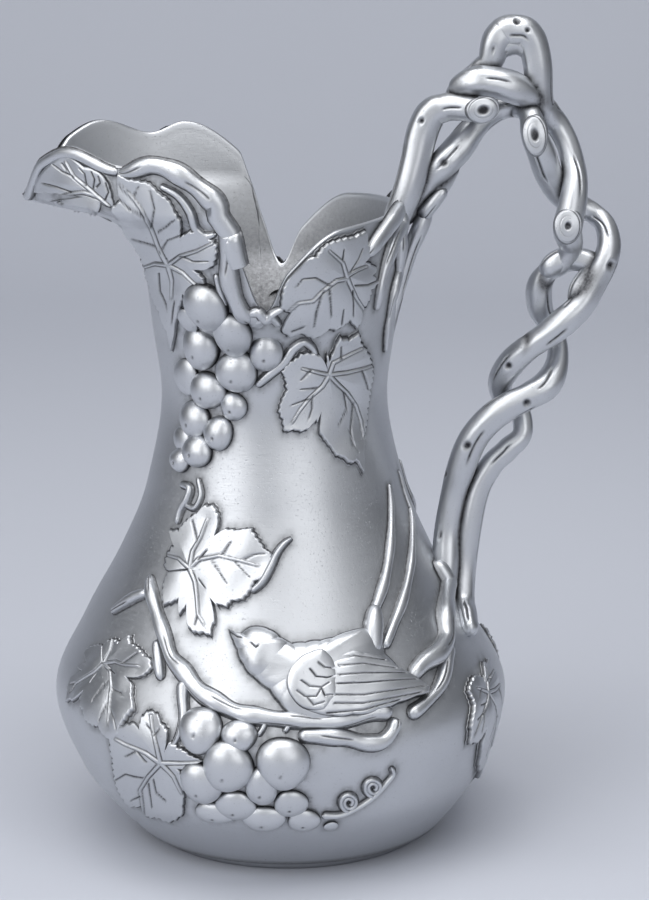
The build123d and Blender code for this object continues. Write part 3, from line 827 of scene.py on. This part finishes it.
def spiral(across, down, size=9.5, start=60):
    """Places of a coil that winds in: the reach falls by 3 hundredths for each 30 degrees."""
    step = np.arange(26)
    reach, angle = size * (1 - 0.030 * step), np.radians(start + 30 * step)
    x, y = across + reach * np.cos(angle), down + reach * np.sin(angle)
    return np.stack([x, y, np.full(26, 0.75), np.full(26, 1.1)], -1)


both_sides("tendril", [
    run("""
        322 816 1.2 1.2  340 815 1 1.3  358 807 0.9 1.3  374 796 0.9 1.3  386 783 0.9 1.3
        393 773 0.8 1.2  391 767 0.7 1""", 0),
    run(spiral(349, 802), 0), run(spiral(373, 787), 0), berry(331, 826, 7, 4.5, 0.4, False)])
both_sides("vine_root", [
    run("""
        452 560 2.8 3.5  446 590 3.4 4.4  443 618 3.6 4.6  444 640 3.8 4.8  436 654 3.6 4.6
        424 662 3.4 4.2  415 672 3 3.6  411 680 2 2.4""", 3, 0.4),
    run("449 645 2.6 3.2  445 668 2.6 3.2  438 688 2.4 3  424 704 2.2 2.8  408 716 2.4 3", 2, 0.3)])
rim_line = rows("""
    118 168 1.4 1.4  132 163 2.4 2.4  150 163 3 2.8  170 166 3.4 3.2  190 178 3.6 3.6  208 194 3.8 3.8
    222 212 3.8 3.8  230 232 3.6 3.8  229 255 3.4 3.6  229 275 3.2 3.6  234 295 3.2 3.6  242 312 3 3.2
    250 322 1.8 2""", 4)
far_rim_line = rim_line * [1, 1, 0.6, 0.6] + [-8, 5, 0, 0]
rim_twigs = [
    run("""
        160 186 0.8 1  178 196 1.2 1.6  190 212 1.4 1.8  196 228 1.4 1.8  206 236 1.2 1.4
        216 234 0.8 1""", 0),
    run("216 274 0.9 1.2  220 290 1.2 1.6  226 306 1.2 1.6", 0),
    run("""
        256 386 1.2 1.2  270 374 1.6 1.8  284 362 1.6 1.8  294 348 1.6 1.8  304 342 1.4 1.6
        312 348 1.2 1.4  316 356 0.9 1""", 0),
    run("180 484 0.9 1  190 488 1.3 1.8  188 498 1.4 2  181 510 1.3 1.8  177 524 1.1 1.2", 0),
    run("198 478 0.7 0.8  201 496 0.9 1.2  194 508 0.9 1.2  184 504 0.7 0.9", 0)]
rim_twigs += [
    run("244 316 1.2 1.4  256 312 1.8 2.2  268 315 1.8 2.2  280 326 1.2 1.4", 2, limit=under_rim),
    run("250 326 0.9 1  262 318 1.3 2.4  274 312 1.2 2.2  284 308 0.8 1", 0, limit=under_rim)]
both_sides("rim_vine", [run(rim_line, 3, 0.35, under_rim)] + rim_twigs,
           [run(far_rim_line, 3, 0.35, under_rim)] + rim_twigs)

# %% [markdown]
# ## The bird
# The bird is four raised shapes, one on another: its plump body, its head with a cut eye
# and beak, the wing with its long feathers, and the scalloped shoulder. Two long tail
# feathers curve up beside the neck.

# %% Bird
BIRD_BODY = shape((302, 672), """
    292 644  305 643  320 641  332 638  350 631  364 628  380 638  384 654  400 672  395 695  375 710
    350 720  320 722  298 719  288 713  279 702  270 690  258 681  248 670  240 656  252 641  270 640
    280 640""")
BIRD_HEAD = shape((260, 648), """
    230 630  235 633  242 634  250 628  260 627  269 630  280 638  290 644  292 655  288 670  278 678
    265 681  252 676  244 665  238 650  234 641""", "", """
    253 646  257 650  260 648; 230 632  239 639  243 640""")
BIRD_WING = shape((350, 685), """
    326 656  340 651  360 654  380 660  395 670  412 680  425 690  424 695  412 698  395 704  375 711
    350 716  330 717  315 715  302 710  292 702  286 690  284 678  295 665  312 656""", "", """
    330 662  350 658  380 662; 336 668  360 666  390 671; 336 678  360 676  400 676;
    334 687  360 686  410 682; 330 698  360 698  418 689; 332 706  360 706  415 695;
    325 715  360 712  395 702""")
BIRD_SHOULDER = shape((312, 682), """
    320 651  328 658  333 670  334 685  334 698  328 705  322 712  302 710  292 701  286 689  286 678
    295 662  308 654""", "", """
    316 665  322 670  331 671; 308 672  314 680  324 681  332 679;
    300 684  308 690  319 691  326 686; 319 692  322 699  330 698;
    296 694  304 700  314 700  319 692; 306 701  312 708  322 705""")
both_sides("bird", [
    raised_shape(**BIRD_BODY, rise=0.8, edge=1.2, dome=4.4),
    raised_shape(**BIRD_HEAD, rise=0.9, edge=1.2, dome=4.4),
    raised_shape(**BIRD_WING, rise=1.2, edge=0.9, dome=1.8, lift=2.5),
    raised_shape(**BIRD_SHOULDER, rise=1.1, edge=0.8, dome=1.7, lift=3.6)])
both_sides("bird_tail", [
    run("374 655 2.6 2.6  373 635 3.6 3.6  374 618 3.4 3.4  375 604 1.8 2", 0),
    run("""
        366 628 1.4 1.6  376 606 1.9 2  384 582 2 2  389 556 1.8 1.8  391 530 1.6 1.6  391 505 1.2 1.2
        389 484 0.7 0.8""", 1, 0.3),
    run("""
        384 648 1.4 1.6  392 628 1.9 2  402 602 2 2  409 574 1.8 1.8  412 545 1.6 1.6  411 515 1.4 1.4
        405 488 1 1  398 470 0.6 0.7""", 1, 0.3)])

# %% [markdown]
# ## Painted shade and toning round the ornaments
# The wall is painted dark against every ornament: painted contact shade, with the patina that
# gathers there. The distance from each point of the wall to the nearest ornament's edge gives
# it: dark within a millimetre, gone at five. The distances are worked out in blocks, so that
# the arrays stay small.

# %% Patina and painted shade of the wall
BAND, MARGIN, BLOCK = 12.0, 8, 400


def edge_points():
    """Every few points of the ornaments that are dark with tone and painted shade, as one array in
    millimetres.
    """
    found = []
    for name, piece in pieces.items():
        mesh = piece.data
        where = np.empty(len(mesh.vertices) * 3)
        mesh.vertices.foreach_get("co", where)
        tone = np.empty(len(mesh.vertices), np.float32)
        mesh.attributes["patina_and_shade"].data.foreach_get("value", tone)
        found.append(where.reshape(-1, 3)[tone > 0.7][::3] / MM)
    return np.concatenate(found)


def nearest_distance(points, targets):
    """Least distance from each point to the targets, a block of points at a time."""
    nearest = np.full(len(points), 99.0)
    keys = np.floor(points[:, 2] / BAND).astype(int)
    for key in np.unique(keys):
        mine = np.flatnonzero(keys == key)
        low, high = key * BAND - MARGIN, (key + 1) * BAND + MARGIN
        close = targets[(targets[:, 2] > low) & (targets[:, 2] < high)].astype(np.float32)
        for block in np.array_split(mine, max(1, len(mine) // BLOCK)):
            if len(close) and len(block):
                gap = points[block][:, None, :].astype(np.float32) - close[None]
                nearest[block] = np.sqrt((gap * gap).sum(-1).min(1))
    return nearest


outside = slice(0, len(outer))
inside = slice(len(outer) + len(edge) + 1, None)
distance = nearest_distance(outer.reshape(-1, 3), edge_points())
# Painted contact shade round every ornament, with the toning there: strong within 1.5 mm, faint out to
# 5 mm.
near = 0.5 * np.exp(-(distance / 1.5) ** 2) + 0.07 * np.exp(-(distance / 5) ** 2)
wall_toning_and_shade = np.zeros(rows_all.shape[:2])
# The last millimetres of the outer wall above the foot ring are darkened too: painted shade in the
# joint, with the toning there.
wall_toning_and_shade[outside] = near.reshape(-1, COLUMNS) + 0.7 * np.exp(-(outer[..., 2] - FOOT_HEIGHT) / 1.2)
# Inside the mouth the wall darkens with depth, from 0.1 near the rim to 0.75 at the floor: painted
# shade inside the cup.
wall_toning_and_shade[inside] = np.clip(0.1 + (262 - rows_all[inside, :, 2]) / 80, 0.1, 0.75)
under = on_wall(turns, np.full(COLUMNS, FOOT_HEIGHT), -12)
body_points = np.concatenate([under[None], rows_all])
corners = body_points.size // 3
floor_hub = fan(corners - COLUMNS + np.arange(COLUMNS), corners, turned=True)
body_faces = np.concatenate([grid_faces(len(body_points), COLUMNS, True)[:, ::-1], floor_hub])
# The underside row is 0.6: painted shade under the pitcher.
tone = np.concatenate([np.full((1, COLUMNS), 0.6), wall_toning_and_shade]).ravel()
put_mesh("body_cast", np.concatenate([body_points.reshape(-1, 3), [[0, 0, FLOOR_TOP]]]),
         body_faces, np.append(tone, 0.3), ["body_shell"], body_metal)
print("body triangles", 2 * len(body_faces), "distance range", round(float(distance.min()), 2))

# %% [markdown]
# ## The handle
# Two vines twist round each other. Each is a tube along a smooth line through its places,
# and its section is never round: low ridges wind along it like bark, it swells here and
# there, and narrow cuts hold the patina. Short fillings stand where the vines grew together.
# The tables give x, y, z and radius in millimetres, and the pits as places in the picture.

# %% Vine formula and the strands of the handle
INNER_VINE = rows("""
    42.1 3 241.4 5  46.4 2 249.3 5.4  53.3 0 258.9 5.6  61 -3 267.3 5.6  66.7 0 273.1 5.6
    71.3 3 278.9 5.2  77.1 6 283.6 4.2  83.6 7 287.3 4.2  90 4 287.6 4.4  94 -3 284.5 4.8
    95.1 -6 278.4 5.3  97.9 -5 271.8 5.7  100.9 -1 263.3 5.6  106.1 3 255 5  112.9 6 250 4.1
    119.2 6 246.5 3.9  123.7 3 241.8 4.1  124.8 0 235.7 4.6  123.2 -3 229.1 5  119 -4 221.1 5.6
    114.8 -6 213.6 5.8  108.7 -7 207.5 5.8  100.3 -7 200.8 5.2  92.7 -6 195.1 5.2  86.7 -3 188.2 5.3
    83.4 2 180 4.9  85.9 7 171.7 4.3  91.9 7 166.9 3.8  92.7 5 160.9 3.7  86.8 3 153.6 4.3
    79.8 2 146.5 4.5  74.7 1 136.2 4.5  72.4 0 125.4 4.6  70.5 -1 110.5 4.6  69.8 -5 98 4.6
    70.9 -14 90.4 4.3  72.4 -22 84.6 3.5""", 4)
ARCHED_VINE = rows("""
    62 6 290.5 3.5  66.2 6 293.6 4.2  70.8 3 298.4 4.6  75.3 0 303.2 4.4  79 -1 307.5 5.1
    80.1 -1 312 5.5  83.1 0 315.8 6.2  87.7 0 316.8 6.5  92.6 0 315.1 6.3  95.3 0 309.6 5.8
    96.6 0 302.5 5.5  97.1 1 292.9 5.3  100 4 286.1 5  104.8 6 280.5 4.4  108.3 5 274.1 4.4
    110.5 2 266.7 4.6  111.2 -3 258.9 5  110 -6 250.8 5.6  108.5 -7 243.6 5.9  110 -3 235.3 5
    106.8 0 227.8 4.4  101.1 2 224 4.5  98.2 4 217.4 5.1  98.8 6 209.9 4.9  102.4 7 203 3.9
    105.6 5 196.2 3.7  105.5 1 189 4.1  101.9 -4 181.7 5.1  94.5 -6 176.9 5.4  86 -6 172.5 5.7
    77.9 -6 166.1 5.9  72.1 -5 157.8 5.9  68.3 -3 147.2 5.5  65.2 -1 134.6 4.9  63.3 -1 122.3 5.1
    62.6 -4 110 5.5  62.2 -9 98.3 4.7  61.8 -17 90 4.3  61.4 -26 84.5 3.9""", 4)
CUT_VINE = rows("""
    39.6 -6 238.8 4.2  43.8 -6 248.9 5  47.6 -6 258.9 5.4  50.2 -5 268.7 5.7  52.1 -4 277.4 6.1
    55.1 -4 285 6.1  60.8 -5 288.6 5.3  67.7 -7 289.1 5.1  75.2 -9 288.2 5.3""", 4)
BRIDGE = rows("""
    63.9 -2 293.6 3.1  67.6 -5 296.9 4.6  73.3 -7 298.9 5.9  80.1 -7 298.6 5.9  86.6 -5 296.5 5.9
    92.8 -1 293.1 5.3  98 4 289.2 4.2""", 4)
BROKEN_END = rows("51.8 -1 245.8 3.1  57.2 -2 252.2 2.7  61.8 -2 257.6 2.1", 4)
COLLAR_ROOT = rows("""
    55.7 1 251.4 2.7  52.2 0 242.6 3.5  48 0 232.4 3.1  44.9 -1 221.6 2.7  42.2 -2 210.8 2.3
    39.9 -3 199.1 1.6  38.8 -3 192 0.8""", 4)
BAR = rows("""
    99.6 1 222.2 3.7  103.7 0 227.4 4.5  110.2 0 229.8 4.6  116.8 -1 228.8 4.6
    122.5 -2 225.4 3.9""", 4)
WEB = rows("56.4 1 252.6 3.5  59.5 1 258.7 4.2  62.5 0 264.3 4  65.6 -1 269.4 3.3", 4)
ARCHFILL = rows("80.5 0 306.3 3  83.2 0 310.4 3.8  87.7 0 312.3 4  91.9 0 310 3.6  94.2 0 305.5 3", 4)
RINGFILL = rows("122.9 -2 229 3.9  118.3 -3 223.6 4.8  114 -5 218.1 5  110.6 -6 212 4.2", 4)
PITS = rows("""
    421 121 1.1  444 163 1.7  517 21 1.3  611 265 1.5  508 366 1.3  527 403 1.5  467 446 1.6
    444 474 1  440 535 0.9  453 615 1  493 50 1  528 30 1""", 3)


VINE_COLUMNS = 96
KNOT_RINGS, KNOT_COLUMNS = 39, 60
SUNK = 0.6


def vine(places, phase):
    """Tube of radius r (1 + ridges) less short cuts; pits sink where the camera sees them."""
    length = np.linalg.norm(np.diff(places[:, :3], axis=0), axis=1).sum()
    line, s = smooth_line(places, int(length / STEP))
    centre, radius = line[:, :3], line[:, 3]
    to_end = np.clip(np.minimum(s, s[-1] - s) / (0.8 * radius), 0, 1)
    radius = radius * np.sqrt(np.maximum(1 - (1 - to_end) ** 2, 0.01))
    ahead = unit(np.gradient(centre, axis=0))
    side = unit(np.array([0, 1.0, 0]) - ahead * ahead[:, 1:2])
    top = np.cross(ahead, side)
    spin = np.radians(np.linspace(0, 360, VINE_COLUMNS, endpoint=False))[None, :]
    wave = spin * 5 + s[:, None] / 14 + phase + 0.5 * np.sin(s / 9)[:, None]
    row_of_cuts = np.round(wave / (2 * np.pi))
    dashes = np.clip(4 * np.sin(s[:, None] / 4.5 + 2.4 * row_of_cuts + phase) - 2.4, 0, 1)
    cut = np.maximum(0, np.cos(wave)) ** 10 * dashes
    ringed = np.maximum(0, np.cos(s[:, None] / 13.0 + 0.35 * np.cos(spin + phase) + phase)) ** 160
    ringed = ringed * np.clip(1.4 * np.cos(spin - 2.4 - phase), 0, 1)
    swell = 0.05 * np.sin(s / 7.0 + phase)[:, None] + 0.03 * np.sin(s / 3.1)[:, None]
    ridge = 0.045 * np.cos(2 * spin + s[:, None] / 12 + phase)
    fine_ridge = 0.015 * np.cos(spin * 6 - s[:, None] / 9)
    r = radius[:, None] * (1 + swell + (ridge + fine_ridge)) - 0.55 * cut - 0.3 * ringed
    outward = side[:, None] * np.cos(spin)[..., None] + top[:, None] * np.sin(spin)[..., None]
    points = centre[:, None] + outward * r[..., None]
    across, down = picture_place(points)
    pit = np.zeros(r.shape)
    for pit_across, pit_down, size in PITS:
        gap = np.hypot(across - pit_across, down - pit_down) / PIXELS_PER_MM
        pit = np.maximum(pit, np.exp(-(gap / size) ** 4) * (outward[..., 1] < -0.2))
    points = points - outward * 0.9 * pit[..., None]
    corners = points.size // 3
    ring = np.arange(VINE_COLUMNS)
    flat = np.concatenate([points.reshape(-1, 3), centre[:1], centre[-1:]])
    ends = [fan(ring, corners, turned=True), fan(corners - VINE_COLUMNS + ring, corners + 1)]
    faces = np.concatenate([grid_faces(len(points), VINE_COLUMNS, True)] + ends)
    patina_and_shade = np.maximum(0.95 * cut + 0.8 * ringed, pit)
    return flat, faces, np.append(patina_and_shade.ravel(), [0.5, 0.5])


def knot(centre, facing, half_wide, half_tall, tilt, hole, rise=1.2):
    """Cut face of a branch: height = rise (1 - share^2) with two ring lines and a dark hole."""
    centre, facing = np.array(centre, float), unit(np.array(facing, float))
    side, top = across_and_up(facing)
    t = np.radians(tilt)
    side, top = side * np.cos(t) + top * np.sin(t), top * np.cos(t) - side * np.sin(t)
    share = np.linspace(0, 1, KNOT_RINGS + 1)[1:, None]
    spin = np.radians(np.linspace(0, 360, KNOT_COLUMNS, endpoint=False))[None, :]
    wobble = 1 + 0.05 * np.sin(2 * spin + 1) + 0.03 * np.sin(3 * spin)
    fade = np.clip(0.55 + 0.6 * np.sin(spin + centre[0]), 0, 1)
    line = np.exp(-((share * wobble - 0.84) / 0.035) ** 2) * fade
    line = line + 0.5 * np.exp(-((share * wobble - 0.56) / 0.03) ** 2) * (1 - fade)
    sunk = np.exp(-(share * wobble / hole) ** 6)
    rim_fall = 1.2 * np.clip((share - 0.86) / 0.14, 0, 1) ** 2
    height = rise * (1 - share ** 2) - 0.25 * line - SUNK * sunk - rim_fall
    points = centre + side * (half_wide * share * np.cos(spin) * wobble)[..., None] + \
        top * (half_tall * share * np.sin(spin) * wobble)[..., None] + facing * height[..., None]
    pole = centre + facing * (rise - SUNK)
    flat = np.concatenate([points.reshape(-1, 3), pole[None]])
    hub = fan(np.arange(KNOT_COLUMNS), len(flat) - 1)
    faces = np.concatenate([grid_faces(KNOT_RINGS, KNOT_COLUMNS, True)[:, ::-1], hub])
    patina_and_shade = np.clip(0.9 * line + sunk + np.clip((share - 0.9) / 0.1, 0, 1) * 0.6, 0, 1)
    return flat, faces, np.append(patina_and_shade.ravel(), 1.0)


def touch_shade_and_toning(mine, others):
    """Darken a vine where it lies against the others, by the distance to them: painted shade in the
    contact, with the tone that gathers there.
    """
    gap = nearest_distance(mine[0], others)
    return mine[0], mine[1], np.maximum(mine[2], 0.9 * np.exp(-(gap / 1.5) ** 2))


STRANDS = {
    "handle_inner_vine": [(INNER_VINE, 2.1)],
    "handle_arched_vine": [(ARCHED_VINE, 0.4), (BAR, 1.7), (ARCHFILL, 0.8), (RINGFILL, 2.6)],
    "handle_cut_vine": [(CUT_VINE, 1.2), (BROKEN_END, 0.3), (COLLAR_ROOT, 5.0), (WEB, 0.9)],
    "handle_bridge": [(BRIDGE, 3.0)]}
KNOTS = {
    "handle_inner_vine": [((95.3, -11.3, 278.9), (-0.1, -1, 0.1), 4.8, 8.4, 8, 0.3)],
    "handle_arched_vine": [((108.2, -13.1, 244.5), (0, -1, 0.1), 5.4, 7.2, 0, 0.22, 1.0),
                           ((62.6, -9.0, 108.5), (0, -1, 0.2), 3.6, 4.8, 0, 0.3)],
    "handle_cut_vine": [((75.5, -13.8, 288.7), (0.2, -1, 0), 6.6, 5.3, 5, 0.34)],
    "handle_bridge": []}
vines = {name: gather([vine(*strand) for strand in strands]) for name, strands in STRANDS.items()}
for name, mine in vines.items():
    others = np.concatenate([other[0][::3] for key, other in vines.items() if key != name])
    # Where the vines touch they are painted dark: painted shade, with the toning there.
    points, faces, tone = gather([touch_shade_and_toning(mine, others)] + [knot(*row) for row in KNOTS[name]])
    put_mesh(name + "_cast", points, faces, tone, [name], vine_metal)
    print(name, 2 * len(faces), "triangles")

# %% [markdown]
# ## Foot ring and base disc
# The ring is turned and soldered on. Its seam is uneven, where the solder was filed. The
# base disc keeps its own shape from the frame and only takes the dull metal.

# %% Foot
SEAM_REACH = 56.7
spin = np.radians(np.linspace(0, 360, 361)[:-1])
rough = 0.25 * np.sin(spin * 31) * np.sin(spin * 7 + 1) - 0.25
profile = rows("49.1 0  55.6 0  56.3 0.4  56.6 1.2  56.9 2.6  57.2 3.4  56.8 3.9  55 4  49.1 4  49.1 0")
radius = profile[:, :1] + rough * (profile[:, :1] > SEAM_REACH)
ring = np.stack([radius * np.cos(spin), radius * np.sin(spin), np.repeat(profile[:, 1:], 360, 1)], -1)
# The top of the ring, where the bowl sits on it, is dark: painted shade under the bowl, with the toning
# at the filed seam.
ring_toning_and_shade = np.repeat(rows("0.2 0.3 0.2 0.1 0.1 0.5 0.9 0.9 0.9 0.2", 1), 360, 1)
put_mesh("foot_ring_turned", ring, grid_faces(len(ring), 360, True), ring_toning_and_shade, ["foot_ring"],
         base_metal)
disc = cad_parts["base_disc"]
disc.data.materials.clear()
disc.data.materials.append(base_metal)

# %% [markdown]
# ## Floor and light
# A pale, cool floor rolls up into a plain backdrop. Three large soft lamps and an even sky
# light the metal: it needs broad pale shapes to mirror, with darker stretches between them.

# %% Stage


def plain(name, colour, roughness):
    """Even surface for the stage."""
    material = bpy.data.materials.new(name)
    material.use_nodes = True
    shader = material.node_tree.nodes["Principled BSDF"]
    shader.inputs["Base Color"].default_value = (*colour, 1)
    shader.inputs["Roughness"].default_value = roughness
    return material


FLOOR_FRONT, FLOOR_BACK, CURVE_DEPTH, HALF_WIDTH = -3.0, 1.2, 0.8, 3.0
reach = np.linspace(0, 1, 40)
bend = (reach - 0.5) * np.pi
flat_part = FLOOR_FRONT + reach * 2 * (FLOOR_BACK - FLOOR_FRONT)
sweep_y = np.where(reach < 0.5, flat_part, FLOOR_BACK + CURVE_DEPTH * np.sin(bend))
climb = CURVE_DEPTH * (1 - np.cos(bend)) + np.maximum(reach - 0.9, 0) * 18
sweep_z = np.where(reach < 0.5, 0.0, climb)
left_edge = np.stack([np.full(40, -HALF_WIDTH), sweep_y, sweep_z], -1)
sheet = np.stack([left_edge, left_edge * [-1, 1, 1]], 1)
pale = plain("pale_floor", (0.56, 0.58, 0.64), 0.7)
floor = new_object("floor", sheet, grid_faces(40, 2), pale)


def lamp(name, where, size, power):
    """Soft rectangular lamp at a place in metres, turned to the middle of the pitcher."""
    data = bpy.data.lights.new(name, "AREA")
    data.shape = "RECTANGLE"
    data.size, data.size_y = size
    data.energy = power
    towards = unit(np.array(where) - np.array([0, 0, 0.15]))
    place(bpy.data.objects.new(name, data), *across_and_up(towards), towards, where)


lamp("window_left", (-1.1, -1.1, 1.0), (1.5, 1.6), 13)
lamp("fill_right", (0.8, -1.6, 0.9), (1.3, 1.4), 6)
lamp("overhead", (0.0, -0.25, 1.6), (1.4, 1.2), 17)
world = bpy.data.worlds.new("studio")
bpy.context.scene.world = world
world.use_nodes = True
sky = world.node_tree
sky.nodes.clear()
direction = node(sky, "ShaderNodeTexCoord", {}, {}, "Generated")
depth = node(sky, "ShaderNodeSeparateXYZ", {}, {0: direction}, "Y")
height = node(sky, "ShaderNodeSeparateXYZ", {}, {0: direction}, "Z")
front = (0.25 - depth * 1.1 + height * 0.35).clamp()
tone = {0: front, 6: (0.075, 0.08, 0.09, 1), 7: (0.53, 0.545, 0.57, 1)}
light = node(sky, "ShaderNodeMix", {"data_type": "RGBA"}, tone, 2)
glow = node(sky, "ShaderNodeBackground", {}, {"Color": light, "Strength": 0.9})
sky.links.new(glow.socket, sky.nodes.new("ShaderNodeOutputWorld").inputs["Surface"])
bpy.context.scene.view_settings.view_transform = "Standard"
